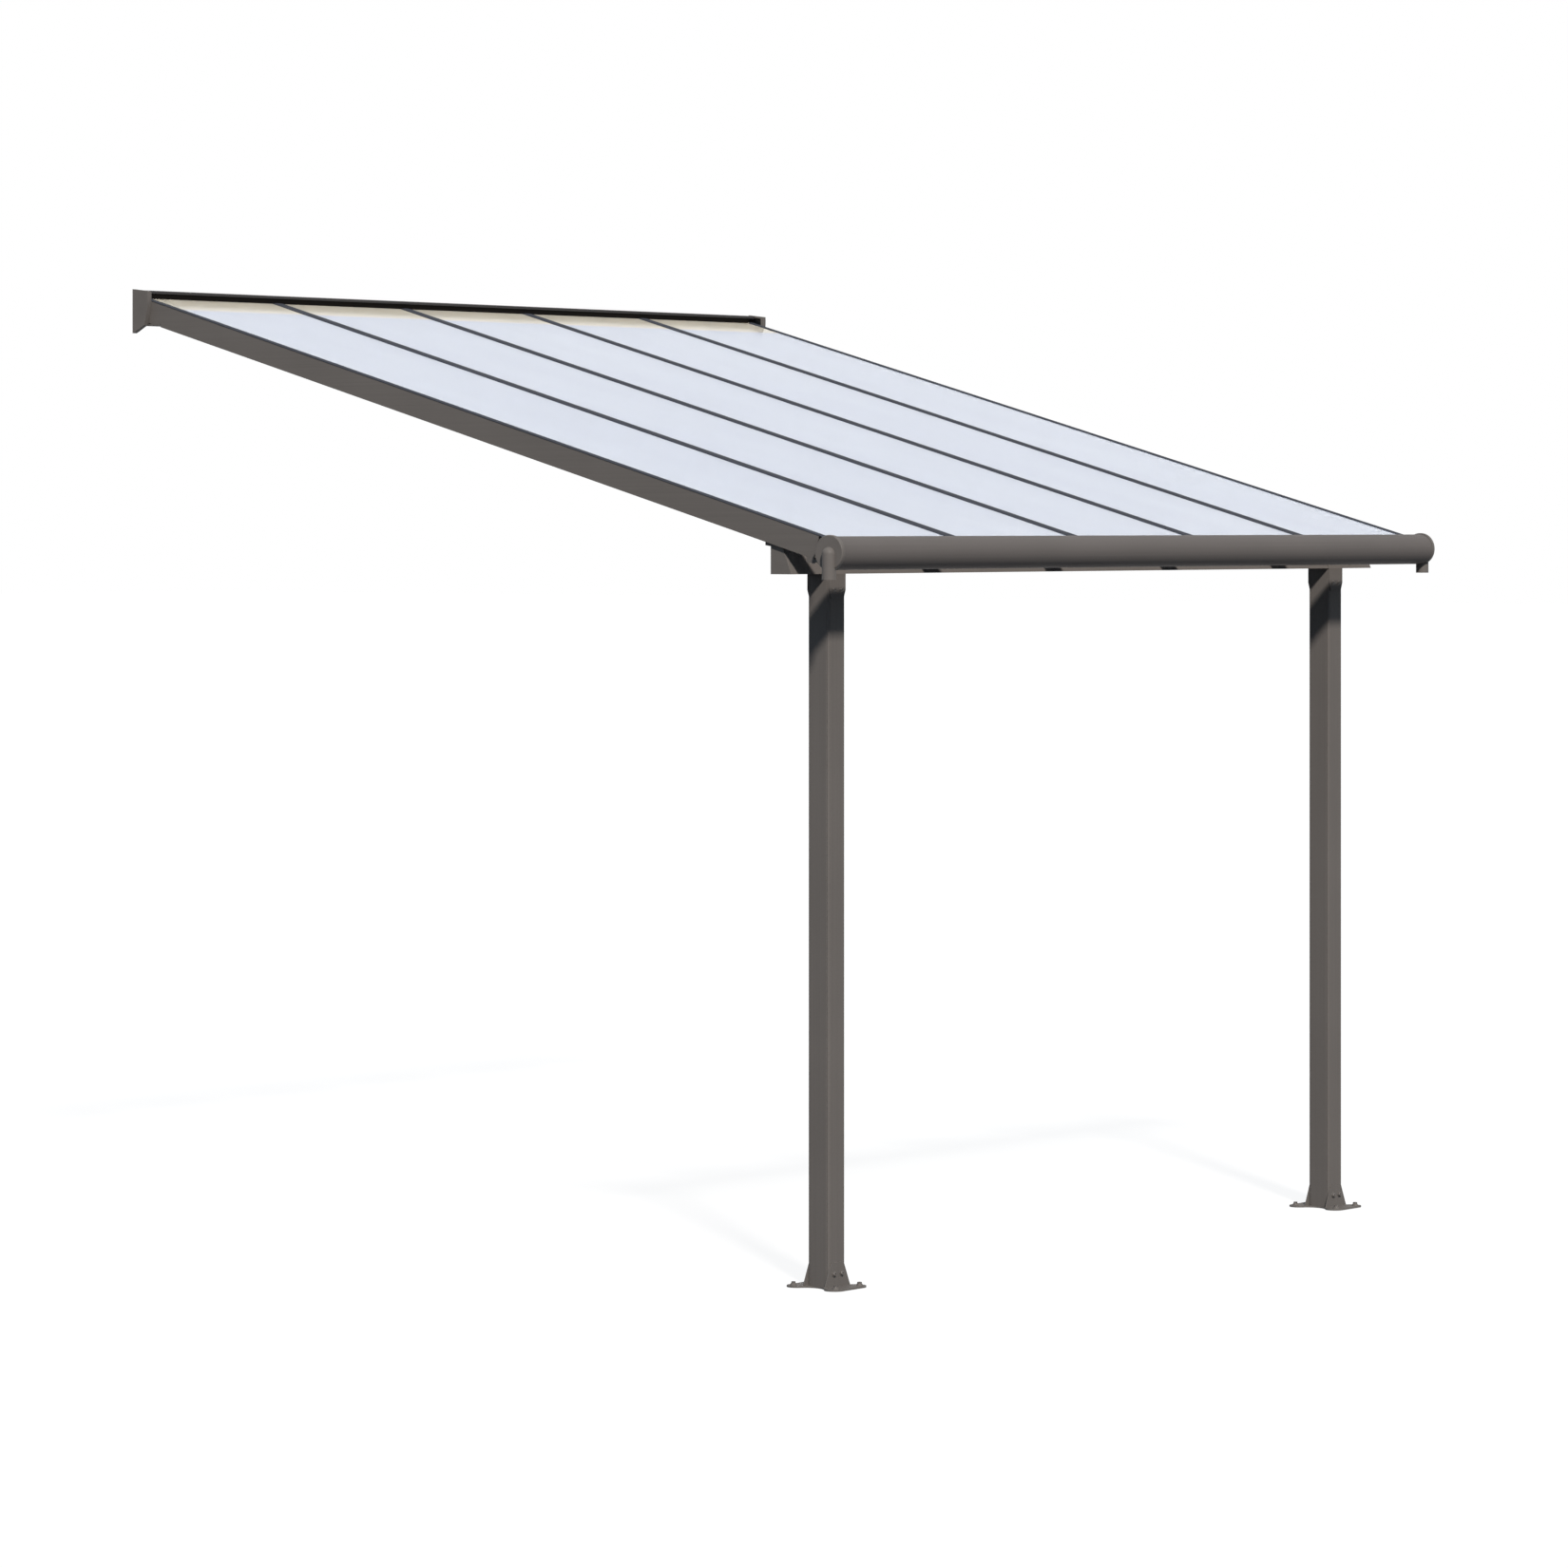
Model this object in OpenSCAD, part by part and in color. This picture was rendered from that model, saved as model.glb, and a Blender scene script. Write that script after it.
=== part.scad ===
// Attached patio cover: a lean-to roof of clear panels on extruded rafters. A rail on the wall holds
// the high side, and a front beam on two posts holds the low side. A round gutter hangs before it.
// X runs along the wall, +Y points into the wall and +Z is up. The origin is on the wall face.

/* [Roof] */
// Spacing of the rafters along the wall
bay_w = 610; // [450:5:760]
// Slope of the roof in degrees
roof_pitch = 15.25; // [12:0.25:18]
// Wall face to the axis of the gutter
projection = 2836; // [2200:2:3600]
// Ground to the underside of the front beam
clearance = 2085; // [1900:5:2500]

/* [Rafters] */
// Underside of a rafter to the seat of the panels, square to the slope
seat_h = 61.5; // [50:0.5:90]
// Width of the hollow web of a rafter between bays
rafter_w = 30; // [24:1:36]
// Width over the two panel seats of that rafter
seat_w = 50; // [44:1:70]
// Thickness of the panel seats
seat_t = 2.5; // [2:0.1:4]
// Width of the spine that stands between two panels
spine_w = 8; // [6:0.5:10]
// Wall of the extruded rafters
rafter_wall = 2; // [1.5:0.1:3]
// Width of the screw groove in the spine
spine_slot = 3.2; // [2:0.2:4]
// Width of a side rafter
side_w = 31; // [26:1:38]
// Overhang of the side rafter's panel seat
side_seat = 4; // [2:0.5:7]
// Rafter end to the back of the gutter
rafter_end_gap = 14; // [10:1:30]
// Rafter end to the wall rail
rafter_wall_gap = 2; // [1:0.5:6]

/* [Cap strips] */
// Width of the strip over a rafter between bays
cap_w = 50; // [40:1:66]
// Thickness of a strip at its edges
cap_edge = 1.4; // [1:0.1:2]
// Height of the strip's crown over the panels
cap_crown = 3.2; // [2.4:0.1:6]
// Depth of the clip legs beside the spine
clip_depth = 5; // [3:0.5:6]
// Thickness of the clip legs
clip_t = 1.2; // [0.8:0.1:1.5]
// Space between a clip leg and the spine
clip_gap = 0.2; // [0.1:0.05:0.4]

/* [Panels] */
// Thickness of the roof panels
panel_t = 8; // [6:0.5:10]
// Panel edge to the spine beside it
panel_gap = 3; // [2.5:0.5:4]
// Axis of the gutter to the lower edge of the panels
panel_reach = 31; // [28:1:40]
// Length of the U strip along the slope
strip_l = 16; // [12:1:20]
// Wall of the U strip
strip_t = 1.2; // [1:0.1:2]

/* [Wall rail] */
// Thickness of the rail's back plate
rail_t = 3; // [2:0.25:5]
// Reach of the ledge from the wall
ledge_d = 100; // [90:1:130]
// Thickness of the ledge
ledge_t = 4; // [3:0.25:5]
// Height of the step cut into the rafters where they sit on the ledge
ledge_bite = 9.45; // [5:0.05:12]
// Size of the fillet under the plate's foot, on top of the ledge
ledge_fillet = 1.5; // [1:0.25:1.75]
// Radius of the wall screw holes
wall_hole_r = 4.5; // [3:0.25:6]
// Side face of the roof to the outermost wall screw hole
wall_hole_inset = 255; // [100:5:400]
// Rail's lower edge to the row of holes
wall_hole_rise = 44.7; // [35:0.1:60]

/* [Wall cover] */
// Reach of the cover from the wall
cover_d = 32; // [26:1:44]
// Drop of the cover's top over its reach
cover_fall = 3.8; // [2:0.2:6]
// Sheet thickness of the cover
cover_t = 2.5; // [1.5:0.25:3]
// Height of the cover's front lip
lip_h = 7.5; // [6:0.5:12]
// Thickness of the rubber seal
seal_t = 8; // [5:0.5:12]
// Height of the seal, from the panels up to the underside of the cover
seal_h = 21.9; // [14:0.1:32]
// Height of the cover's back leg
leg_h = 22; // [14:1:28]

/* [Wall end caps] */
// Depth of an end cap from the wall
wall_cap_d = 67; // [60:1:80]
// Thickness of an end cap
wall_cap_t = 15; // [8:0.5:20]
// Thickness of the neck between the end cap's body and the roof
wall_cap_neck = 6; // [3:0.5:10]
// How far the neck lies inside the body's outline
wall_cap_inset = 3; // [1.5:0.25:4]
// Wall of the moulded end cap
wall_cap_wall = 3; // [2:0.25:4]
// How far an end cap stands over the rail's outline
wall_cap_proud = 2; // [1:0.25:4]
// Drop of the end cap's top edge over its depth
wall_cap_fall = 7.9; // [5:0.1:12]
// Radius of its convex front
wall_cap_bulge = 300; // [220:10:400]
// Top edge to the middle of the convex front
wall_cap_mid = 22; // [10:1:50]
// Ledge's underside to the lowest point of an end cap
wall_cap_drop = 24; // [16:1:34]
// Depth at which the lower lip starts to taper
wall_cap_lip = 51; // [45:1:65]
// Depth of the lip's point
wall_cap_tip = 4.5; // [3:0.5:10]

/* [Front beam] */
// Gutter axis to the lower front edge of the beam
beam_setback = 173; // [150:1:220]
// Underside of the beam to its top edge at the back
beam_h = 90.6; // [80:0.2:120]
// How far the front face leans back over its height
beam_rake = 32; // [20:1:40]
// Wall of the beam
beam_wall = 2.5; // [2:0.25:4]
// Depth of the lip along the back of the beam
beam_lip_d = 20; // [12:1:26]
// Height of that lip
beam_lip_h = 12; // [8:1:20]
// Height of the lip's root on the beam
beam_lip_root = 15; // [12:1:24]
// Beam end to the side face of the roof
beam_inset = 10; // [6:1:40]
// Thickness of the beam's end plates
beam_cap_t = 3; // [2:0.5:5]

/* [Gutter] */
// Outer radius of the gutter
gutter_r = 48.5; // [44:0.5:54]
// Wall of the gutter
gutter_wall = 2.2; // [1.6:0.1:3]
// Underside of the beam to the gutter's axis
gutter_rise = 62; // [58:0.5:66]
// Angle of the opening's back edge over the level
mouth_back = 18; // [10:1:30]
// Angle of the opening's front edge over the level
mouth_front = 78; // [72:1:90]
// Radius of the bead along the gutter's front lip
bead_r = 2.6; // [2:0.2:3.4]
// Gutter end past the side face of the roof
gutter_over = 18.5; // [10:0.5:40]

/* [Gutter brackets] */
// Width of a bracket
arm_w = 27; // [20:0.5:30]
// Gutter axis to the back end of a bracket
arm_reach = 108; // [96:1:124]
// Gutter axis down to a bracket's level underside
arm_drop = 27; // [26:0.5:34]
// Gutter axis to the bend in that underside
arm_bend = 62; // [54:1:70]
// Gutter axis to the toe under the gutter
arm_toe = 30; // [24:1:34]

/* [Gutter end caps] */
// Radius of the end discs
disc_r = 51; // [46:0.5:57]
// How far a disc's centre lies up and back from the gutter's axis
disc_shift = 1.5; // [0:0.25:2]
// Thickness of the end discs
disc_t = 13.5; // [10:0.5:20]
// Width of the chamfer on the disc's outer rim
disc_edge = 2; // [1:0.5:4]
// Outer radius of the downspout
spout_r = 20.5; // [17:0.5:24]
// Wall of the downspout
spout_wall = 2.5; // [2:0.25:3.5]
// Gutter axis to the top of the downspout's dome
spout_top = 18; // [14:0.5:24]
// Gutter axis to the lower end of the downspout
spout_drop = 77; // [68:1:100]
// Depth of the socket for the pipe
socket_l = 28; // [18:1:28]
// Radius of the throat over the socket
throat_r = 11; // [9:0.5:13]
// Height of the throat's window to the gutter
window_h = 30; // [20:1:36]

/* [Posts] */
// Side of the square posts
post_w = 76.5; // [66:0.5:84]
// Corner radius of the posts
post_r = 5; // [3:0.5:8]
// Wall of the posts
post_wall = 2.2; // [1.5:0.1:4]
// Side face of the roof to the post's axis
post_inset = 221; // [120:1:500]
// Post edge to the groove beside it
groove_in = 6.5; // [6:0.5:12]
// Radius of the grooves along the posts
groove_r = 1.4; // [0.8:0.1:1.8]
// Distance of a groove's axis outside the post's face
groove_out = 0.6; // [0.3:0.1:0.7]

/* [Post heads] */
// Thickness of the bracket plates
head_t = 3; // [2.5:0.25:6]
// Length of the plates down the post
head_down = 73; // [50:1:100]
// Length of the plates up the beam
head_up = 34; // [24:1:40]
// Width of the cut on the plates' lower corners
head_cut = 10; // [4:1:16]
// Height of that cut
head_cut_h = 26; // [14:1:40]

/* [Feet] */
// Half the spacing of the anchor holes along the wall
foot_hole_x = 56; // [50:1:62]
// Half their spacing square to the wall
foot_hole_y = 79; // [72:0.5:86]
// Radius of the plate's four lobes
lobe_r = 30.5; // [26:0.5:36]
// Plate's middle to the centre of a lobe, along the wall
lobe_x = 50; // [46:0.5:56]
// The same, square to the wall
lobe_y = 70; // [64:0.5:76]
// Centre of the plate to the middle of its two hollow sides
foot_waist = 44; // [42:1:54]
// Thickness of the base plate
foot_t = 5; // [4:0.5:8]
// Radius of the anchor holes
foot_hole_r = 5.5; // [4:0.25:7]
// Radius of the conical boss round a hole, at the ground
boss_r = 12.5; // [10:0.5:14]
// Radius of the boss at its top
boss_top_r = 8; // [7.5:0.25:9.5]
// Height of the boss over the plate
boss_h = 5; // [2:0.5:8]
// Height of the upright tabs over the ground
tab_h = 76; // [50:1:110]
// Width of a tab at its top
tab_top_w = 56; // [40:1:72]
// Width of a tab where it meets the plate
tab_w = 119; // [100:1:120]
// Thickness of a tab
tab_t = 3.5; // [2.5:0.25:5]

/* [Hidden] */
$fn = 48;

// Five bays lie between six rafters
bays = 5;
half_w = bays * bay_w / 2;
post_x = half_w - post_inset;
wall_holes = 6;
wall_hole_pitch = 2 * (half_w - wall_hole_inset) / (wall_holes - 1);

// Facets of large circles and of holes in the preview mesh
fn_large = 120;
fn_hole = 32;
// Flats on each half of a strip's crown
crown_steps = 4;

// A small overlap that lets cuts pass through
eps = 1;
// Length of the blocks that cut away what lies past a plane
far = 400;

// Places in the YZ plane, with Z from the ground: the gutter's axis and the beam's lower edges
gutter_y = -projection;
gutter_z = clearance + gutter_rise;
beam_front_y = gutter_y + beam_setback;
beam_back_y = beam_front_y + post_w;
beam_back_z = clearance + beam_h;
post_y = beam_front_y + post_w / 2;

// The rafters' underside is a plane through the beam's top edge at the back
slope = tan(roof_pitch);
function under_z(y) = beam_back_z + (y - beam_back_y) * slope;
// Height over the ground of a plane that lies v above the underside, square to it
function lifted_z(y, v) = under_z(y) + v / cos(roof_pitch);
// Distance along the slope of a point at y that lies v above the underside
function along(y, v) = (y - beam_back_y + v * sin(roof_pitch)) / cos(roof_pitch);

panel_top = seat_h + panel_t;
rafter_low = along(gutter_y + gutter_r + rafter_end_gap, panel_top);
rafter_high = along(-rail_t - rafter_wall_gap, 0);
panel_low = along(gutter_y + panel_reach, panel_top);
panel_high = along(-rail_t - cover_t - rafter_wall_gap, panel_top);
cap_low = panel_low + strip_l + clip_gap;
cap_high = along(-cover_d - clip_gap, panel_top + cap_crown);

// The rail's heights follow from the rafters, which rest on the front part of the ledge
ledge_top_z = under_z(-ledge_d) + ledge_bite;
rail_low_z = ledge_top_z - ledge_t;
// The cover lies over the seal, which stands on the panels right behind the cover's front lip
seal_front = -cover_d + cover_t;
rail_top_z = lifted_z(seal_front, panel_top) + seal_h + cover_t - cover_fall * seal_front / cover_d;
mount_z = rail_low_z + wall_hole_rise;

// Outline of the raked beam: the front face leans back to where it meets the rafters' underside
beam_top_front_y = beam_front_y + beam_rake;
beam_rake_angle = atan(beam_rake / (under_z(beam_top_front_y) - clearance));

// Point on the beam's front face at height z, moved back by d square to the face
function rake_y(z, d) = beam_front_y + (z - clearance) * tan(beam_rake_angle) + d / cos(beam_rake_angle);

head_web_z = clearance - head_t;

// Puts a shape drawn with Z from the ground into the part's frame
module on_site() {
    translate([0, 0, -mount_z]) children();
}

// Extrudes a drawing of the YZ plane along X, from x0 to x1
module along_x(x0, x1) {
    translate([x0, 0, 0]) rotate([90, 0, 90]) linear_extrude(x1 - x0) children();
}

// Extrudes a drawing across the slope, X by height, from u0 to u1 along the slope
module along_slope(u0, u1) {
    translate([0, beam_back_y, beam_back_z]) rotate([roof_pitch, 0, 0])
        translate([0, u1, 0]) rotate([90, 0, 0]) linear_extrude(u1 - u0) children();
}

module mirrored(side) {
    if (side < 0) {
        mirror([1, 0, 0]) children();
    } else {
        children();
    }
}

module rect(x0, y0, x1, y1) {
    translate([x0, y0]) square([x1 - x0, y1 - y0]);
}

module rounded_square(w, r) {
    inner = w / 2 - r;
    rect(-inner, -w / 2, inner, w / 2);
    rect(-w / 2, -inner, w / 2, inner);
    for (x = [-inner, inner], y = [-inner, inner]) {
        translate([x, y]) circle(r);
    }
}

// Wall rail: back plate and the ledge along its lower edge
module wall_profile_section() {
    plate_top = rail_top_z - cover_t - clip_gap;
    rect(-rail_t, rail_low_z, 0, plate_top);
    rect(-ledge_d, rail_low_z, -eps, ledge_top_z);
    polygon([
        [-rail_t + eps, ledge_top_z - eps], [-rail_t + eps, ledge_top_z + ledge_fillet + eps],
        [-rail_t - ledge_fillet - eps, ledge_top_z - eps],
    ]);
    // Nose along the ledge's front edge
    translate([-ledge_d, rail_low_z + ledge_t / 2]) circle(ledge_t / 2);
}

module wall_profile() {
    color("dimgray") on_site() difference() {
        along_x(-half_w, half_w) wall_profile_section();
        for (i = [0 : wall_holes - 1]) {
            translate([(i - (wall_holes - 1) / 2) * wall_hole_pitch, eps, mount_z])
                rotate([90, 0, 0]) cylinder(r = wall_hole_r, h = rail_t + 2 * eps, $fn = fn_hole);
        }
    }
}

// Top of the cover at depth y from the wall
function cover_z(y) = rail_top_z + cover_fall * y / cover_d;

module wall_cover_section() {
    lip_y = -cover_d + cover_t;
    leg_y = -rail_t - cover_t;
    polygon([
        [0, cover_z(0)], [-cover_d, cover_z(-cover_d)], [-cover_d, cover_z(-cover_d) - lip_h],
        [lip_y, cover_z(-cover_d) - lip_h], [lip_y, cover_z(lip_y) - cover_t],
        [leg_y, cover_z(leg_y) - cover_t], [leg_y, rail_top_z - leg_h],
        [-rail_t, rail_top_z - leg_h], [-rail_t, rail_top_z - cover_t], [0, rail_top_z - cover_t],
    ]);
}

module wall_cover() {
    color("dimgray") on_site() along_x(-half_w, half_w) wall_cover_section();
}

// Rubber seal: hangs from the cover behind its lip and rests on the panels
module wall_seal_section() {
    front = seal_front;
    back = front + seal_t;
    polygon([
        [front, cover_z(front) - cover_t], [front, lifted_z(front, panel_top)],
        [back, lifted_z(back, panel_top)], [back, cover_z(back) - cover_t],
    ]);
}

module wall_seal() {
    color("black") on_site() along_x(-half_w + side_w, half_w - side_w) wall_seal_section();
}

// End cap: straight back, convex front edge and a lower lip that tapers to a point on the wall
module wall_cap_outline(grow) {
    top = rail_top_z + wall_cap_proud + grow;
    front = -wall_cap_d - grow;
    low = rail_low_z - grow;
    tip = rail_low_z - wall_cap_drop - grow;
    intersection() {
        polygon([
            [0, tip], [0, top], [front - eps, top - wall_cap_fall],
            [front - eps, low], [-wall_cap_lip, low], [-wall_cap_tip, tip],
        ]);
        translate([front + wall_cap_bulge, top - wall_cap_mid]) circle(wall_cap_bulge, $fn = fn_large);
    }
}

module wall_cap(side) {
    body = half_w + wall_cap_neck;
    outer = body + wall_cap_t;
    pocket = wall_cap_inset + wall_cap_wall;
    color("dimgray") on_site() mirrored(side) difference() {
        union() {
            along_x(half_w, body + eps) wall_cap_outline(-wall_cap_inset);
            along_x(body, outer) wall_cap_outline(0);
        }
        along_x(half_w - eps, outer - wall_cap_wall) intersection() {
            wall_cap_outline(-pocket);
            rect(-wall_cap_d, 0, -pocket, rail_top_z + far);
        }
    }
}

// Rafter between two bays: hollow web, two panel seats and the grooved spine between the panels
module rafter_section() {
    inner_x = rafter_w / 2 - rafter_wall;
    inner_low = rafter_wall;
    inner_high = seat_h - seat_t - rafter_wall;
    difference() {
        union() {
            rect(-rafter_w / 2, 0, rafter_w / 2, seat_h);
            rect(-seat_w / 2, seat_h - seat_t, seat_w / 2, seat_h);
            rect(-spine_w / 2, seat_h - eps, spine_w / 2, panel_top - cap_edge);
        }
        rect(-inner_x, inner_low, inner_x, inner_high);
        // Screw groove down the middle of the spine
        rect(-spine_slot / 2, seat_h, spine_slot / 2, panel_top);
    }
}

// Side rafter: outer face at x = 0 and the bay towards -x
module side_rafter_section() {
    web = side_w - side_seat;
    difference() {
        union() {
            rect(-web, 0, 0, seat_h);
            rect(-side_w, seat_h - seat_t, 0, seat_h);
            rect(-spine_w, seat_h - eps, 0, panel_top - cap_edge);
        }
        rect(-web + rafter_wall, rafter_wall, -rafter_wall, seat_h - seat_t - rafter_wall);
        translate([-spine_w / 2, 0]) rect(-spine_slot / 2, seat_h, spine_slot / 2, panel_top);
    }
}

// The rafters' lower corner is cut level where it rests on the ledge
module ledge_notch() {
    translate([-half_w - far, -ledge_d - ledge_t, ledge_top_z - far])
        cube([2 * (half_w + far), ledge_d + far, far]);
}

module rafter(i) {
    color("dimgray") on_site() difference() {
        translate([rafter_x(i), 0, 0]) along_slope(rafter_low, rafter_high) rafter_section();
        ledge_notch();
    }
}

module side_rafter(side) {
    color("dimgray") on_site() mirrored(side) difference() {
        translate([half_w, 0, 0]) along_slope(rafter_low, rafter_high) side_rafter_section();
        ledge_notch();
    }
}

function rafter_x(i) = (i - bays / 2) * bay_w;

// Cap strip: a low crown over the joint, with two clip legs that straddle the spine
module cap_crown_shape(w) {
    rise = cap_crown - cap_edge;
    top = [for (k = [crown_steps : -1 : -crown_steps])
        [w / 2 * k / crown_steps, cap_crown - rise * pow(k / crown_steps, 2)]];
    polygon(concat([[-w / 2, 0], [w / 2, 0]], top));
}

module clip_legs() {
    x = spine_w / 2 + clip_gap;
    rect(x, -clip_depth, x + clip_t, eps);
    rect(-x - clip_t, -clip_depth, -x, eps);
}

module rafter_cap(i) {
    color("darkslategray") on_site() translate([rafter_x(i), 0, 0])
        along_slope(cap_low, cap_high) translate([0, panel_top]) {
            cap_crown_shape(cap_w);
            clip_legs();
        }
}

module side_cap(side) {
    color("darkslategray") on_site() mirrored(side) translate([half_w, 0, 0])
        along_slope(cap_low, cap_high) translate([0, panel_top]) {
            translate([-side_w / 2, 0]) cap_crown_shape(side_w);
            rect(-spine_w - clip_gap - clip_t, -clip_depth, -spine_w - clip_gap, eps);
        }
}

// Edges of the panel in bay i, clear of the spines on both sides
function panel_x0(i) = rafter_x(i - 1) + panel_gap + (i == 1 ? spine_w : spine_w / 2);
function panel_x1(i) = rafter_x(i) - panel_gap - (i == bays ? spine_w : spine_w / 2);

module panel(i) {
    color("lightsteelblue") on_site()
        along_slope(panel_low + strip_t, panel_high) rect(panel_x0(i), seat_h, panel_x1(i), panel_top);
}

// U strip on the lower edge of a panel
module panel_end(i) {
    color("dimgray") on_site() difference() {
        along_slope(panel_low, panel_low + strip_l)
            rect(panel_x0(i), seat_h - strip_t, panel_x1(i), panel_top + strip_t);
        along_slope(panel_low + strip_t, panel_low + strip_l + eps)
            rect(panel_x0(i) - eps, seat_h, panel_x1(i) + eps, panel_top);
    }
}

// Beam outline, moved in by d on every side
module beam_outline(d) {
    z0 = clearance + d;
    back = beam_back_y - d;
    front_top = rake_y(under_z(beam_top_front_y), d);
    drop = d / cos(roof_pitch);
    polygon([
        [rake_y(z0, d), z0], [back, z0], [back, under_z(back) - drop],
        [front_top, under_z(front_top) - drop],
    ]);
}

module beam_lip_outline() {
    back = beam_back_y + beam_lip_d;
    polygon([
        [beam_back_y - eps, under_z(back) - beam_lip_root], [back, under_z(back) - beam_lip_h],
        [back, under_z(back)], [beam_back_y - eps, under_z(beam_back_y - eps)],
    ]);
}

module front_beam() {
    half = half_w - beam_inset - beam_cap_t;
    color("dimgray") on_site() along_x(-half, half) {
        difference() {
            beam_outline(0);
            beam_outline(beam_wall);
        }
        beam_lip_outline();
    }
}

module beam_cap(side) {
    outer = half_w - beam_inset;
    color("dimgray") on_site() mirrored(side) along_x(outer - beam_cap_t, outer) {
        beam_outline(0);
        beam_lip_outline();
    }
}

// Gutter: a round trough, open at the top behind its beaded front lip, where the panels drain
module gutter_ring() {
    mid_r = gutter_r - gutter_wall / 2;
    difference() {
        circle(gutter_r, $fn = fn_large);
        circle(gutter_r - gutter_wall, $fn = fn_large);
        reach = 3 * gutter_r;
        mid = (mouth_back + mouth_front) / 2;
        polygon([
            [0, 0], reach * [cos(mouth_back), sin(mouth_back)],
            reach * [cos(mid), sin(mid)], reach * [cos(mouth_front), sin(mouth_front)],
        ]);
    }
    translate((gutter_r - bead_r) * [cos(mouth_front), sin(mouth_front)]) circle(bead_r);
    translate(mid_r * [cos(mouth_back), sin(mouth_back)]) circle(gutter_wall / 2);
}

module gutter() {
    end = half_w + gutter_over;
    color("dimgray") on_site() along_x(-end, end) translate([gutter_y, gutter_z]) gutter_ring();
}

// Bracket: screwed up under the rafter's end, with a toe that carries the gutter
module bracket_outline() {
    back = gutter_y + arm_reach;
    toe = gutter_y + arm_toe;
    low = gutter_z - arm_drop;
    difference() {
        polygon([
            [toe, gutter_z - sqrt(pow(gutter_r, 2) - pow(arm_toe, 2))], [gutter_y + arm_bend, low],
            [back, low], [back, under_z(back)], [toe, under_z(toe)],
        ]);
        translate([gutter_y, gutter_z]) circle(gutter_r, $fn = fn_large);
    }
}

// Bracket i of six: the outer ones are flush with the roof's side faces
module gutter_bracket(i) {
    x = max(arm_w / 2 - half_w, min(half_w - arm_w / 2, rafter_x(i - 1)));
    color("dimgray") on_site() along_x(x - arm_w / 2, x + arm_w / 2) bracket_outline();
}

// Space that the gutter's round outside takes, for what fits against it
module gutter_space(x1) {
    along_x(0, x1) translate([gutter_y, gutter_z]) circle(gutter_r, $fn = fn_large);
}

module spout_solid(x) {
    translate([x, gutter_y, gutter_z - spout_drop])
        cylinder(r = spout_r, h = spout_drop + spout_top - spout_r);
    translate([x, gutter_y, gutter_z + spout_top - spout_r]) sphere(spout_r);
}

// Opening through the disc's inner face, over the gutter's floor, that leads water to the throat
module water_window(x) {
    floor_z = gutter_z - gutter_r + 2 * gutter_wall;
    translate([x - eps, gutter_y - throat_r, floor_z]) cube([disc_t + eps, 2 * throat_r, window_h]);
}

module gutter_cap(side) {
    inner = half_w + gutter_over;
    outer = inner + disc_t;
    color("dimgray") on_site() mirrored(side) difference() {
        union() {
            translate([inner, gutter_y + disc_shift, gutter_z + disc_shift]) rotate([0, 90, 0]) {
                cylinder(r = disc_r, h = disc_t - disc_edge, $fn = fn_large);
                translate([0, 0, disc_t - disc_edge])
                    cylinder(r1 = disc_r, r2 = disc_r - disc_edge, h = disc_edge, $fn = fn_large);
            }
            difference() {
                spout_solid(outer);
                gutter_space(inner);
            }
        }
        translate([outer, gutter_y, gutter_z - spout_drop - eps]) {
            cylinder(r = spout_r - spout_wall, h = socket_l + eps);
            cylinder(r = throat_r, h = spout_drop + eps);
        }
        water_window(inner);
    }
}

// Post: square tube with rounded corners and a shallow groove beside each corner
module post_section() {
    difference() {
        rounded_square(post_w, post_r);
        rounded_square(post_w - 2 * post_wall, post_r - post_wall);
        for (turn = [0 : 90 : 270], x = [-1, 1]) {
            rotate(turn) translate([x * (post_w / 2 - groove_in), post_w / 2 + groove_out])
                circle(groove_r);
        }
    }
}

module post(side) {
    color("dimgray") on_site() translate([side * post_x, post_y, foot_t])
        linear_extrude(head_web_z - foot_t) post_section();
}

// Post head: front and back plates joined by the web between the post's top and the beam
module head_plate_front() {
    up_z = clearance + head_up;
    polygon([
        [beam_front_y, clearance - head_down], [beam_front_y, clearance],
        [rake_y(up_z, 0), up_z], [rake_y(up_z, -head_t), up_z],
        [beam_front_y - head_t, clearance], [beam_front_y - head_t, clearance - head_down],
    ]);
}

module head_side_cut(x) {
    z = clearance - head_down;
    translate([x, 0, z]) rotate([90, 0, 0]) linear_extrude(2 * far, center = true)
        polygon([[-head_cut, -eps], [eps, -eps], [eps, head_cut_h], [0, head_cut_h]]);
}

module post_head(side) {
    color("dimgray") on_site() translate([side * post_x, 0, 0]) difference() {
        along_x(-post_w / 2, post_w / 2) {
            head_plate_front();
            rect(beam_back_y, clearance - head_down, beam_back_y + head_t, clearance + head_up);
            rect(beam_front_y - eps, head_web_z, beam_back_y + eps, clearance);
        }
        translate([0, post_y, 0]) {
            head_side_cut(post_w / 2);
            mirror([1, 0, 0]) head_side_cut(post_w / 2);
        }
    }
}

// Radius and centre of the hollow sides, tangent to the lobes, and the points where they meet
side_arc_r = (pow(foot_waist - lobe_x, 2) + pow(lobe_y, 2) - pow(lobe_r, 2))
    / (2 * (lobe_r + lobe_x - foot_waist));
side_arc_x = foot_waist + side_arc_r;
touch_share = side_arc_r / (side_arc_r + lobe_r);
touch_x = side_arc_x - touch_share * (side_arc_x - lobe_x);
touch_y = touch_share * lobe_y;

module foot_outline() {
    end = lobe_y + lobe_r;
    difference() {
        union() {
            rect(-lobe_x, -end, lobe_x, end);
            rect(-touch_x, -touch_y, touch_x, touch_y);
        }
        for (x = [-side_arc_x, side_arc_x]) {
            translate([x, 0]) circle(side_arc_r, $fn = fn_large);
        }
    }
    foot_corners(lobe_x, lobe_y) circle(lobe_r);
}

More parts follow.
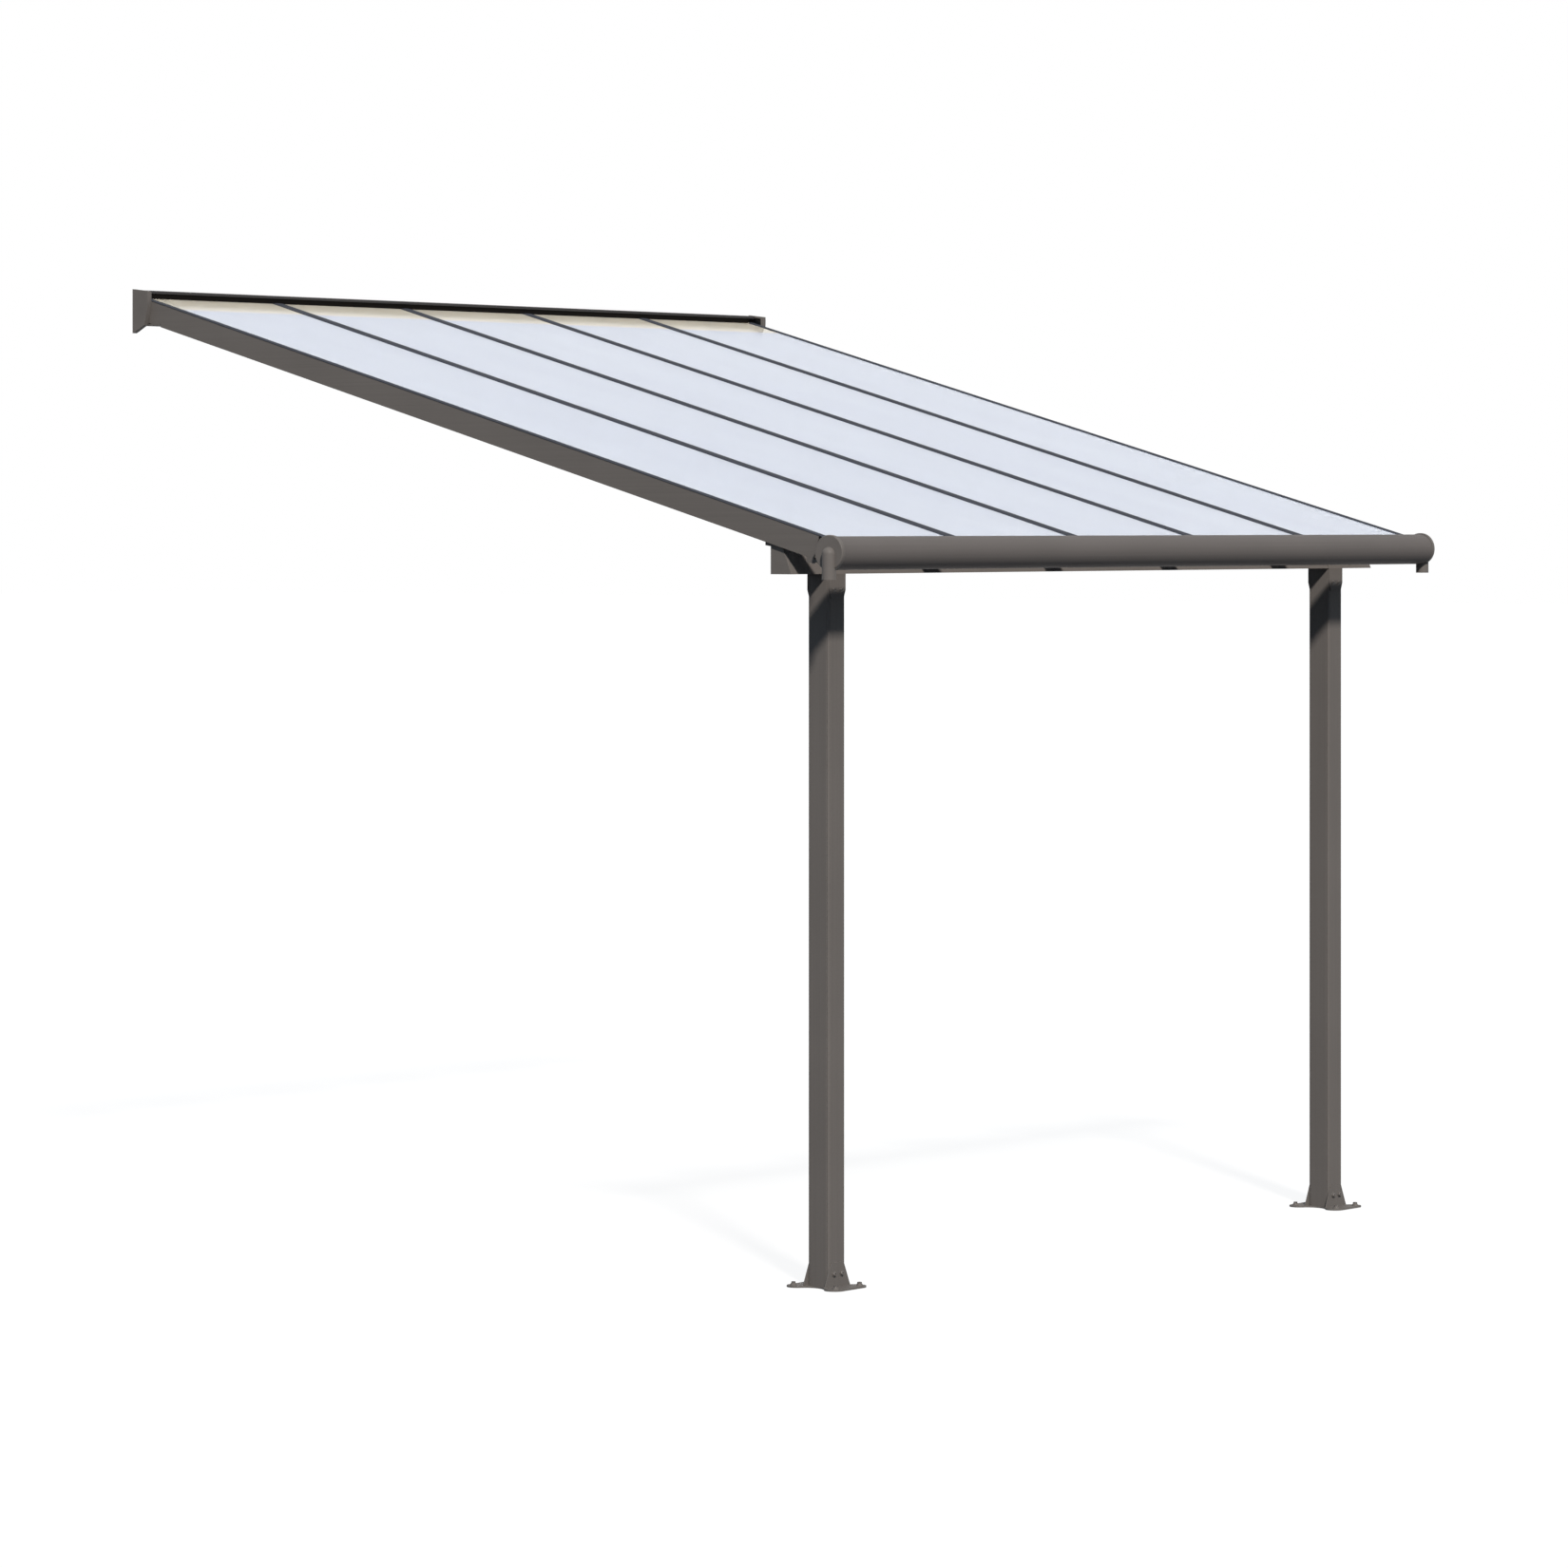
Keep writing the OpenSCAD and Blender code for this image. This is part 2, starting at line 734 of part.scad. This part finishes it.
module foot_corners(dx, dy) {
    for (x = [-dx, dx], y = [-dy, dy]) {
        translate([x, y, 0]) children();
    }
}

module foot_tab() {
    translate([0, post_w / 2 + tab_t, 0]) rotate([90, 0, 0]) linear_extrude(tab_t)
        polygon([
            [-tab_w / 2, foot_t - eps], [tab_w / 2, foot_t - eps],
            [tab_top_w / 2, tab_h], [-tab_top_w / 2, tab_h],
        ]);
}

module foot(side) {
    color("dimgray") on_site() translate([side * post_x, post_y, 0]) difference() {
        union() {
            linear_extrude(foot_t) foot_outline();
            foot_corners(foot_hole_x, foot_hole_y)
                cylinder(r1 = boss_r, r2 = boss_top_r, h = foot_t + boss_h, $fn = fn_hole);
            foot_tab();
            mirror([0, 1, 0]) foot_tab();
        }
        foot_corners(foot_hole_x, foot_hole_y) translate([0, 0, -eps])
            cylinder(r = foot_hole_r, h = foot_t + boss_h + 2 * eps, $fn = fn_hole);
    }
}

wall_profile();
wall_cover();
wall_seal();
wall_cap(-1);  // wall_cap_left
wall_cap(1);  // wall_cap_right
side_rafter(-1);  // side_rafter_left
side_rafter(1);  // side_rafter_right
rafter(1);  // rafter_1
rafter(2);  // rafter_2
rafter(3);  // rafter_3
rafter(4);  // rafter_4
side_cap(-1);  // side_cap_left
side_cap(1);  // side_cap_right
rafter_cap(1);  // rafter_cap_1
rafter_cap(2);  // rafter_cap_2
rafter_cap(3);  // rafter_cap_3
rafter_cap(4);  // rafter_cap_4
panel(1);  // panel_1
panel(2);  // panel_2
panel(3);  // panel_3
panel(4);  // panel_4
panel(5);  // panel_5
panel_end(1);  // panel_end_1
panel_end(2);  // panel_end_2
panel_end(3);  // panel_end_3
panel_end(4);  // panel_end_4
panel_end(5);  // panel_end_5
front_beam();
beam_cap(-1);  // beam_cap_left
beam_cap(1);  // beam_cap_right
gutter();
gutter_cap(-1);  // gutter_cap_left
gutter_cap(1);  // gutter_cap_right
gutter_bracket(1);  // gutter_bracket_1
gutter_bracket(2);  // gutter_bracket_2
gutter_bracket(3);  // gutter_bracket_3
gutter_bracket(4);  // gutter_bracket_4
gutter_bracket(5);  // gutter_bracket_5
gutter_bracket(6);  // gutter_bracket_6
post(-1);  // post_left
post(1);  // post_right
post_head(-1);  // post_head_left
post_head(1);  // post_head_right
foot(-1);  // foot_left
foot(1);  // foot_right
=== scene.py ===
import math

import bmesh
import bpy
from mathutils import Matrix, Vector


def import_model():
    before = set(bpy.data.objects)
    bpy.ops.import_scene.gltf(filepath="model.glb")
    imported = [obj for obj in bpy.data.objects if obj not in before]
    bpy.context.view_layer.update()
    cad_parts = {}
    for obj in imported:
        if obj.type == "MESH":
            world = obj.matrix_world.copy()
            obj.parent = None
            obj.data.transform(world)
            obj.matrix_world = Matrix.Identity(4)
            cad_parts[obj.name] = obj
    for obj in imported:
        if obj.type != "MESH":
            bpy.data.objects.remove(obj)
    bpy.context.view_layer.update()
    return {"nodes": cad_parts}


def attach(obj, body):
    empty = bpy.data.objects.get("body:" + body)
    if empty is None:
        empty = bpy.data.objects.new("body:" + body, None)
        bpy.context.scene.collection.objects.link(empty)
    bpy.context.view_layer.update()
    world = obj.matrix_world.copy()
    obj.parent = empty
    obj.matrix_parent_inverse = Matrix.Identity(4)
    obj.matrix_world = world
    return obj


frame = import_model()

# Places in the row frame, in metres, as in the part's source
GROUND_Z = -2.903648
GUTTER_Y = -2.836
BEAM_LOW_Z = -0.818648
BEAM_FRONT_Y = -2.663
BEAM_BACK_Y = -2.5865
POST_X = 1.304
POST_Y = -2.62475
POST_HALF = 0.03825
HEAD_T = 0.003
TAB_T = 0.0035
FOOT_HOLE_X = 0.056
FOOT_HOLE_Y = 0.079
BOSS_TOP = 0.010
BRACKET_LOW_Z = -0.783648
BAY = 0.610
END_BRACKET_X = 1.5115
WALL_HOLE_PITCH = 0.508
RAIL_T = 0.003

# Places of the screws that only the looks have
POST_SCREW_X = 0.0175
HEAD_SCREW_DROP = 0.046
FOOT_SCREW_RISE = 0.0425
BRACKET_SCREW_X = 0.006
BRACKET_SCREW_BACK = 0.090
BRACKET_SCREW_SHIFT = 0.006

# The photo's camera, in pixels of its square frame, in metres and in degrees
PHOTO_PX = 1650
FOCAL_PX = 6226.74
HORIZON_PX = 548.157
SENSOR_MM = 36
CAMERA_X = -14.8151
CAMERA_Y = -13.4321
CAMERA_HEIGHT = 2.2396
CAMERA_TURN = -50.933

# The sides of a screw head's mesh
SIDES = 36
# The pitch of the roof sheets' ribs
RIB_PITCH = 0.0105


def linear(r, g, b):
    """A colour written as it looks on a screen, 0 to 255, in Blender's linear values."""
    def one(v):
        v = v / 255
        return v / 12.92 if v <= 0.04045 else ((v + 0.055) / 1.055) ** 2.4
    return (one(r), one(g), one(b), 1.0)


def times(tone, k):
    """A linear colour made darker or paler by k."""
    return tuple(c * k for c in tone[:3]) + (1.0,)


# ---- materials ----

class Nodes:
    """Short calls for building one material's node tree."""

    def __init__(self, name):
        self.mat = bpy.data.materials.new(name)
        self.mat.use_nodes = True
        self.tree = self.mat.node_tree
        self.shader = self.tree.nodes["Principled BSDF"]

    def add(self, kind, **values):
        node = self.tree.nodes.new(kind)
        for key, value in values.items():
            setattr(node, key, value)
        return node

    def link(self, a, b):
        self.tree.links.new(a, b)

    def place(self, scale):
        """Object coordinates, stretched by scale."""
        coord = self.add("ShaderNodeTexCoord")
        stretch = self.add("ShaderNodeMapping")
        stretch.inputs["Scale"].default_value = scale
        self.link(coord.outputs["Object"], stretch.inputs["Vector"])
        return stretch.outputs["Vector"]

    def noise(self, where, scale, detail, roughness=0.5):
        node = self.add("ShaderNodeTexNoise")
        node.inputs["Scale"].default_value = scale
        node.inputs["Detail"].default_value = detail
        node.inputs["Roughness"].default_value = roughness
        self.link(where, node.inputs["Vector"])
        return node.outputs["Fac"]

    def span(self, value, low, high, to_low, to_high):
        """value's range from low to high, moved to the range from to_low to to_high."""
        node = self.add("ShaderNodeMapRange")
        node.inputs["From Min"].default_value = low
        node.inputs["From Max"].default_value = high
        node.inputs["To Min"].default_value = to_low
        node.inputs["To Max"].default_value = to_high
        self.link(value, node.inputs["Value"])
        return node.outputs["Result"]

    def blend(self, share, a, b):
        """The colour a, or b where share is 1."""
        node = self.add("ShaderNodeMix", data_type="RGBA")
        for socket, value in ((node.inputs[6], a), (node.inputs[7], b)):
            if isinstance(value, tuple):
                socket.default_value = value
            else:
                self.link(value, socket)
        self.link(share, node.inputs[0])
        return node.outputs[2]

    def math(self, operation, a, b):
        node = self.add("ShaderNodeMath", operation=operation)
        for socket, value in ((node.inputs[0], a), (node.inputs[1], b)):
            if isinstance(value, (int, float)):
                socket.default_value = value
            else:
                self.link(value, socket)
        return node.outputs[0]

    def relief(self, height, distance, edge=0.0):
        """Bump of a depth in metres, over edges that look rounded to the radius edge."""
        bump = self.add("ShaderNodeBump")
        bump.inputs["Distance"].default_value = distance
        bump.inputs["Strength"].default_value = 1.0
        self.link(height, bump.inputs["Height"])
        if edge:
            bevel = self.add("ShaderNodeBevel", samples=4)
            bevel.inputs["Radius"].default_value = edge
            self.link(bevel.outputs["Normal"], bump.inputs["Normal"])
        self.link(bump.outputs["Normal"], self.shader.inputs["Normal"])

    def finish(self, color, roughness, specular):
        self.link(color, self.shader.inputs["Base Color"])
        self.link(roughness, self.shader.inputs["Roughness"])
        self.shader.inputs["Specular IOR Level"].default_value = specular
        return self.mat


def powder_coat(name, tone, along, edge=0.0012, rough_at=0.60, specular=0.07):
    """Satin powder coat on an extrusion: fine grain, and faint draw lines that run along it."""
    n = Nodes(name)
    # Draw lines: noise squeezed across the extrusion's own direction
    stretch = [260.0, 260.0, 260.0]
    stretch[along] = 1.2
    lines = n.noise(n.place(tuple(stretch)), 1.0, 2.0)
    cloud = n.noise(n.place((1, 1, 1)), 3.0, 4.0)
    grain = n.noise(n.place((1, 1, 1)), 900.0, 1.0)
    shade = n.math("ADD", n.math("MULTIPLY", lines, 0.45), n.math("MULTIPLY", cloud, 0.55))
    speck = n.math("ADD", n.math("MULTIPLY", shade, 0.8), n.math("MULTIPLY", grain, 0.2))
    color = n.blend(n.span(speck, 0.3, 0.7, 0, 1), times(tone, 0.90), times(tone, 1.10))
    rough = n.span(n.math("ADD", cloud, grain), 0.6, 1.4, rough_at - 0.06, rough_at + 0.06)
    height = n.math("ADD", n.math("MULTIPLY", grain, 0.7), n.math("MULTIPLY", lines, 0.3))
    n.relief(height, 0.00006, edge)
    return n.finish(color, rough, specular)


def moulded(name, tone):
    """Moulded plastic end cap: fine spark grain, a touch smoother on its crests."""
    n = Nodes(name)
    grain = n.noise(n.place((1, 1, 1)), 1500.0, 3.0, 0.6)
    cloud = n.noise(n.place((1, 1, 1)), 14.0, 3.0)
    share = n.span(n.math("ADD", cloud, grain), 0.7, 1.3, 0, 1)
    color = n.blend(share, times(tone, 0.92), times(tone, 1.08))
    rough = n.span(grain, 0.3, 0.7, 0.52, 0.40)
    n.relief(grain, 0.00008, 0.0015)
    return n.finish(color, rough, 0.08)


def roof_sheet(name):
    """Twin-wall roof sheet: pale and glossy, with fine ribs down the slope.

    Along the wall rail a warm tan is painted in: a painted reflection of the house wall.
    """
    n = Nodes(name)
    coord = n.add("ShaderNodeTexCoord")
    split = n.add("ShaderNodeSeparateXYZ")
    n.link(coord.outputs["Object"], split.inputs["Vector"])
    phase = n.math("MULTIPLY", split.outputs["X"], 2 * math.pi / RIB_PITCH)
    wave = n.math("SINE", phase, 0.0)
    rib = n.math("POWER", n.span(wave, -1, 1, 0, 1), 8.0)
    cloud = n.noise(n.place((1.0, 0.5, 1.0)), 1.6, 3.0)
    sheet = n.blend(n.span(cloud, 0.35, 0.65, 0, 1), linear(175, 184, 208), linear(181, 190, 213))
    ribbed = n.blend(n.math("MULTIPLY", rib, 0.30), sheet, linear(190, 198, 220))
    # Painted reflection: a warm tan band along the wall rail stands in for the house wall mirrored
    # in the sheet
    painted_wall_reflection = n.span(split.outputs["Y"], -0.185, -0.155, 0, 1)
    color = n.blend(painted_wall_reflection, ribbed, linear(216, 202, 177))
    rough = n.span(cloud, 0.3, 0.7, 0.10, 0.16)
    n.relief(rib, 0.00004)
    # Light that falls on the top comes through to the underside
    n.shader.inputs["Subsurface Weight"].default_value = 0.9
    n.shader.inputs["Subsurface Radius"].default_value = (1.0, 1.0, 1.0)
    n.shader.inputs["Subsurface Scale"].default_value = 0.08
    return n.finish(color, rough, 0.12)


def rubber(name):
    """Matt black rubber, a little streaked along the wall."""
    n = Nodes(name)
    grain = n.noise(n.place((1, 1, 1)), 700.0, 4.0)
    streak = n.noise(n.place((2.0, 160.0, 160.0)), 1.0, 2.0)
    share = n.math("MULTIPLY", n.math("ADD", grain, streak), 0.5)
    color = n.blend(share, linear(6, 5, 4), linear(15, 13, 11))
    rough = n.span(streak, 0.3, 0.7, 0.62, 0.78)
    n.relief(grain, 0.0001)
    return n.finish(color, rough, 0.05)


def painted_screw(name, tone):
    """Painted screw heads: a little darker and shinier than the frame, and unevenly worn."""
    n = Nodes(name)
    grain = n.noise(n.place((1, 1, 1)), 1100.0, 2.0)
    cloud = n.noise(n.place((1, 1, 1)), 120.0, 3.0)
    color = n.blend(n.span(cloud, 0.3, 0.7, 0, 1), times(tone, 0.80), times(tone, 1.15))
    rough = n.span(grain, 0.3, 0.7, 0.30, 0.42)
    n.relief(grain, 0.00003, 0.0004)
    return n.finish(color, rough, 0.45)


# The axis that an extrusion's draw lines follow
X, Y, Z = 0, 1, 2
GREY = linear(95, 91, 88)
# The gutter gets the frame's grey made a little darker: painted shade that tones down its lit top
GUTTER_GREY_PAINTED_SHADE = linear(89, 85, 83)
# The wall cover gets the frame's grey made much darker: painted shade for its shaded top, seen at a
# grazing angle
COVER_GREY_PAINTED_SHADE = linear(54, 53, 54)
DARK = linear(57, 59, 65)
MATS = {
    "frame_x": powder_coat("coat_along_wall", GREY, X),
    "frame_y": powder_coat("coat_down_slope", GREY, Y),
    "gutter": powder_coat("coat_gutter_painted_shade", GUTTER_GREY_PAINTED_SHADE, X),
    "frame_z": powder_coat("coat_upright", GREY, Z),
    "cover": powder_coat("coat_cover_painted_shade", COVER_GREY_PAINTED_SHADE, X),
    "strip_y": powder_coat("coat_strips", DARK, Y, 0.0004, 0.72, 0.03),
    "strip_x": powder_coat("coat_panel_ends", DARK, X, 0.0004, 0.72, 0.03),
    "bracket": powder_coat("coat_brackets", GREY, Z, 0.001, 0.64),
    "moulded": moulded("moulded_caps", GREY),
    "panel": roof_sheet("roof_sheet"),
    "seal": rubber("rubber_seal"),
    "screw": painted_screw("painted_screw", linear(84, 80, 77)),
}


def node_material(name):
    """The key in MATS of the material that a CAD node gets."""
    if name == "wall_seal":
        return "seal"
    if name.startswith("panel_end"):
        return "strip_x"
    if name.startswith("panel"):
        return "panel"
    if name.startswith(("wall_cap", "beam_cap", "gutter_cap")):
        return "moulded"
    if name.startswith(("rafter_cap", "side_cap")):
        return "strip_y"
    if name.startswith(("rafter", "side_rafter")):
        return "frame_y"
    if name.startswith(("post_head", "foot", "gutter_bracket")):
        return "bracket"
    if name.startswith("post"):
        return "frame_z"
    return {"gutter": "gutter", "wall_cover": "cover"}.get(name, "frame_x")


for name, obj in frame["nodes"].items():
    obj.data.materials.clear()
    obj.data.materials.append(MATS[node_material(name)])
    if name.startswith("panel"):
        # The sheets and their end strips let the sun through to what stands under them
        obj.visible_shadow = False


# ---- screws and anchors ----

def turned(rings, hexagon):
    """A closed mesh along +Z from (radius, height) rings.

    The rings whose index is in hexagon are six-sided.
    """
    bm = bmesh.new()
    loops = []
    for k, (r, z) in enumerate(rings):
        loop = []
        for j in range(SIDES):
            a = 2 * math.pi * j / SIDES
            rr = r
            if k in hexagon:
                inside = a % (math.pi / 3) - math.pi / 6
                rr = r * math.cos(math.pi / 6) / math.cos(inside)
            loop.append(bm.verts.new((rr * math.cos(a), rr * math.sin(a), z)))
        loops.append(loop)
    for low, high in zip(loops, loops[1:]):
        for j in range(SIDES):
            after = (j + 1) % SIDES
            bm.faces.new((low[j], low[after], high[after], high[j]))
    bm.faces.new(list(reversed(loops[0])))
    bm.faces.new(loops[-1])
    mesh = bpy.data.meshes.new("turned")
    bm.to_mesh(mesh)
    bm.free()
    mesh.shade_smooth()
    mesh.set_sharp_from_angle(angle=math.radians(35))
    return mesh


def pan_head(s):
    """Domed screw head with a hexagon socket, on a thin washer. s is the head's radius."""
    rings = [
        (1.28 * s, 0.0), (1.28 * s, 0.16 * s), (1.22 * s, 0.22 * s), (1.0 * s, 0.22 * s),
        (1.0 * s, 0.45 * s), (0.94 * s, 0.66 * s), (0.80 * s, 0.84 * s), (0.60 * s, 0.94 * s),
        (0.46 * s, 0.96 * s), (0.42 * s, 0.93 * s), (0.42 * s, 0.55 * s),
    ]
    return turned(rings, (8, 9, 10))


def hex_head(s):
    """Hexagon head with a flange and a low rounded crown. s is the hexagon's radius."""
    rings = [
        (1.10 * s, 0.0), (1.10 * s, 0.10 * s), (1.06 * s, 0.16 * s), (0.98 * s, 0.18 * s),
        (0.98 * s, 0.62 * s), (0.90 * s, 0.74 * s), (0.70 * s, 0.80 * s), (0.40 * s, 0.84 * s),
        (0.10 * s, 0.85 * s),
    ]
    return turned(rings, (3, 4))


def aim(direction):
    """Rotation that turns +Z to direction."""
    return Vector((0, 0, 1)).rotation_difference(Vector(direction)).to_matrix().to_4x4()


def put(name, head, place, direction, spin):
    """A copy of the mesh head at place, facing direction and turned by spin."""
    mesh = head.copy()
    turn = aim(direction) @ Matrix.Rotation(spin, 4, "Z")
    mesh.transform(Matrix.Translation(Vector(place)) @ turn)
    obj = bpy.data.objects.new(name, mesh)
    bpy.context.scene.collection.objects.link(obj)
    mesh.materials.append(MATS["screw"])
    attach(obj, "root")


FRONT, BACK, UP, DOWN = (0, -1, 0), (0, 1, 0), (0, 0, 1), (0, 0, -1)

# Screws through the post heads and the feet's tabs, and the anchors in the feet
head_pan = pan_head(0.006)
foot_pan = pan_head(0.007)
anchor = hex_head(0.0072)
for side, s in (("left", -1), ("right", 1)):
    x = s * POST_X
    for k, dx in enumerate((-POST_SCREW_X, POST_SCREW_X)):
        end = f"{side}_{k + 1}"
        z = BEAM_LOW_Z - HEAD_SCREW_DROP
        place = (x + dx, BEAM_FRONT_Y - HEAD_T, z)
        put(f"head_screw_front_{end}", head_pan, place, FRONT, 0.3 * k)
        place = (x + dx, BEAM_BACK_Y + HEAD_T, z)
        put(f"head_screw_back_{end}", head_pan, place, BACK, 0.2 + 0.3 * k)
        z = GROUND_Z + FOOT_SCREW_RISE
        place = (x + dx, POST_Y - POST_HALF - TAB_T, z)
        put(f"foot_screw_front_{end}", foot_pan, place, FRONT, 0.1 + 0.4 * k)
        place = (x + dx, POST_Y + POST_HALF + TAB_T, z)
        put(f"foot_screw_back_{end}", foot_pan, place, BACK, 0.5 + 0.3 * k)
    corners = [(dx, dy) for dx in (-FOOT_HOLE_X, FOOT_HOLE_X) for dy in (-FOOT_HOLE_Y, FOOT_HOLE_Y)]
    for k, (dx, dy) in enumerate(corners, 1):
        place = (x + dx, POST_Y + dy, GROUND_Z + BOSS_TOP)
        put(f"anchor_{side}_{k}", anchor, place, UP, 0.35 * k)

# Two screws up through each gutter bracket into its rafter
bracket_pan = pan_head(0.0042)
for k in range(6):
    x = max(-END_BRACKET_X, min(END_BRACKET_X, (k - 2.5) * BAY))
    for j, dx in enumerate((-BRACKET_SCREW_X, BRACKET_SCREW_X)):
        y = GUTTER_Y + BRACKET_SCREW_BACK + BRACKET_SCREW_SHIFT * j
        place = (x + dx, y, BRACKET_LOW_Z)
        put(f"bracket_screw_{k + 1}_{j + 1}", bracket_pan, place, DOWN, 0.4 * k + 0.2 * j)

wall_head = hex_head(0.0075)
for k in range(6):
    place = ((k - 2.5) * WALL_HOLE_PITCH, -RAIL_T, 0)
    put(f"wall_screw_{k + 1}", wall_head, place, FRONT, 0.3 * k)


# ---- floor, light and camera ----

def when_seen(tree, unseen, seen, out):
    """One shader for the light on the object, and another for what is seen.

    Seen means by the camera, in a reflection or through something clear.
    """
    path = tree.nodes.new("ShaderNodeLightPath")
    either = path.outputs["Is Camera Ray"]
    for ray in ("Is Glossy Ray", "Is Transmission Ray"):
        larger = tree.nodes.new("ShaderNodeMath")
        larger.operation = "MAXIMUM"
        tree.links.new(either, larger.inputs[0])
        tree.links.new(path.outputs[ray], larger.inputs[1])
        either = larger.outputs[0]
    mix = tree.nodes.new("ShaderNodeMixShader")
    tree.links.new(either, mix.inputs[0])
    tree.links.new(unseen.outputs[0], mix.inputs[1])
    tree.links.new(seen.outputs[0], mix.inputs[2])
    tree.links.new(mix.outputs[0], out.inputs["Surface"])


def floor():
    mesh = bpy.data.meshes.new("floor")
    w = 120.0
    mesh.from_pydata([(-w, -w, 0), (w, -w, 0), (w, w, 0), (-w, w, 0)], [], [(0, 1, 2, 3)])
    obj = bpy.data.objects.new("floor", mesh)
    bpy.context.scene.collection.objects.link(obj)
    obj.location = (0, 0, GROUND_Z - 0.0005)
    mat = bpy.data.materials.new("floor")
    mat.use_nodes = True
    tree = mat.node_tree
    tree.nodes.clear()
    out = tree.nodes.new("ShaderNodeOutputMaterial")
    # Where it is seen: white, a little less where the object shades it
    seen = tree.nodes.new("ShaderNodeAddShader")
    glow = tree.nodes.new("ShaderNodeEmission")
    glow.inputs["Color"].default_value = (1, 1, 1, 1)
    glow.inputs["Strength"].default_value = 0.90
    skin = tree.nodes.new("ShaderNodeBsdfDiffuse")
    skin.inputs["Color"].default_value = (0.10, 0.10, 0.10, 1)
    tree.links.new(glow.outputs[0], seen.inputs[0])
    tree.links.new(skin.outputs[0], seen.inputs[1])
    # For the light that it throws back on the object: a dark grey
    dull = tree.nodes.new("ShaderNodeBsdfDiffuse")
    dull.inputs["Color"].default_value = (0.07, 0.07, 0.075, 1)
    when_seen(tree, dull, seen, out)
    mesh.materials.append(mat)


def world():
    """A weak cool light from all round, with a white background."""
    w = bpy.data.worlds.new("studio")
    bpy.context.scene.world = w
    w.use_nodes = True
    tree = w.node_tree
    tree.nodes.clear()
    out = tree.nodes.new("ShaderNodeOutputWorld")
    soft = tree.nodes.new("ShaderNodeBackground")
    soft.inputs["Color"].default_value = (0.58, 0.78, 1.0, 1)
    soft.inputs["Strength"].default_value = 0.45
    white = tree.nodes.new("ShaderNodeBackground")
    white.inputs["Color"].default_value = (1, 1, 1, 1)
    white.inputs["Strength"].default_value = 1.0
    when_seen(tree, soft, white, out)


def sun(name, strength, spread, color, towards):
    data = bpy.data.lights.new(name, "SUN")
    data.energy = strength
    data.angle = math.radians(spread)
    data.color = color
    obj = bpy.data.objects.new(name, data)
    bpy.context.scene.collection.objects.link(obj)
    obj.rotation_euler = Vector(towards).to_track_quat("-Z", "Y").to_euler()
    return obj


def camera():
    data = bpy.data.cameras.new("camera")
    data.sensor_fit = "HORIZONTAL"
    data.sensor_width = SENSOR_MM
    data.lens = FOCAL_PX * SENSOR_MM / PHOTO_PX
    data.shift_y = (HORIZON_PX - PHOTO_PX / 2) / PHOTO_PX
    data.clip_end = 400
    obj = bpy.data.objects.new("camera", data)
    bpy.context.scene.collection.objects.link(obj)
    obj.location = (CAMERA_X, CAMERA_Y, CAMERA_HEIGHT + GROUND_Z)
    obj.rotation_euler = (math.radians(90), 0, math.radians(CAMERA_TURN))
    bpy.context.scene.camera = obj


floor()
world()
sun("key", 4.8, 5, (1.0, 0.94, 0.88), (0.8, 1.0, -1.0))
# A weaker one lights the sides that the photo doesn't show, and leaves no glare on the sheets
fill = sun("fill", 2.4, 30, (0.96, 0.98, 1.0), (-0.9, -1.0, -0.2))
fill.visible_glossy = False
camera()
bpy.context.scene.view_settings.view_transform = "Standard"
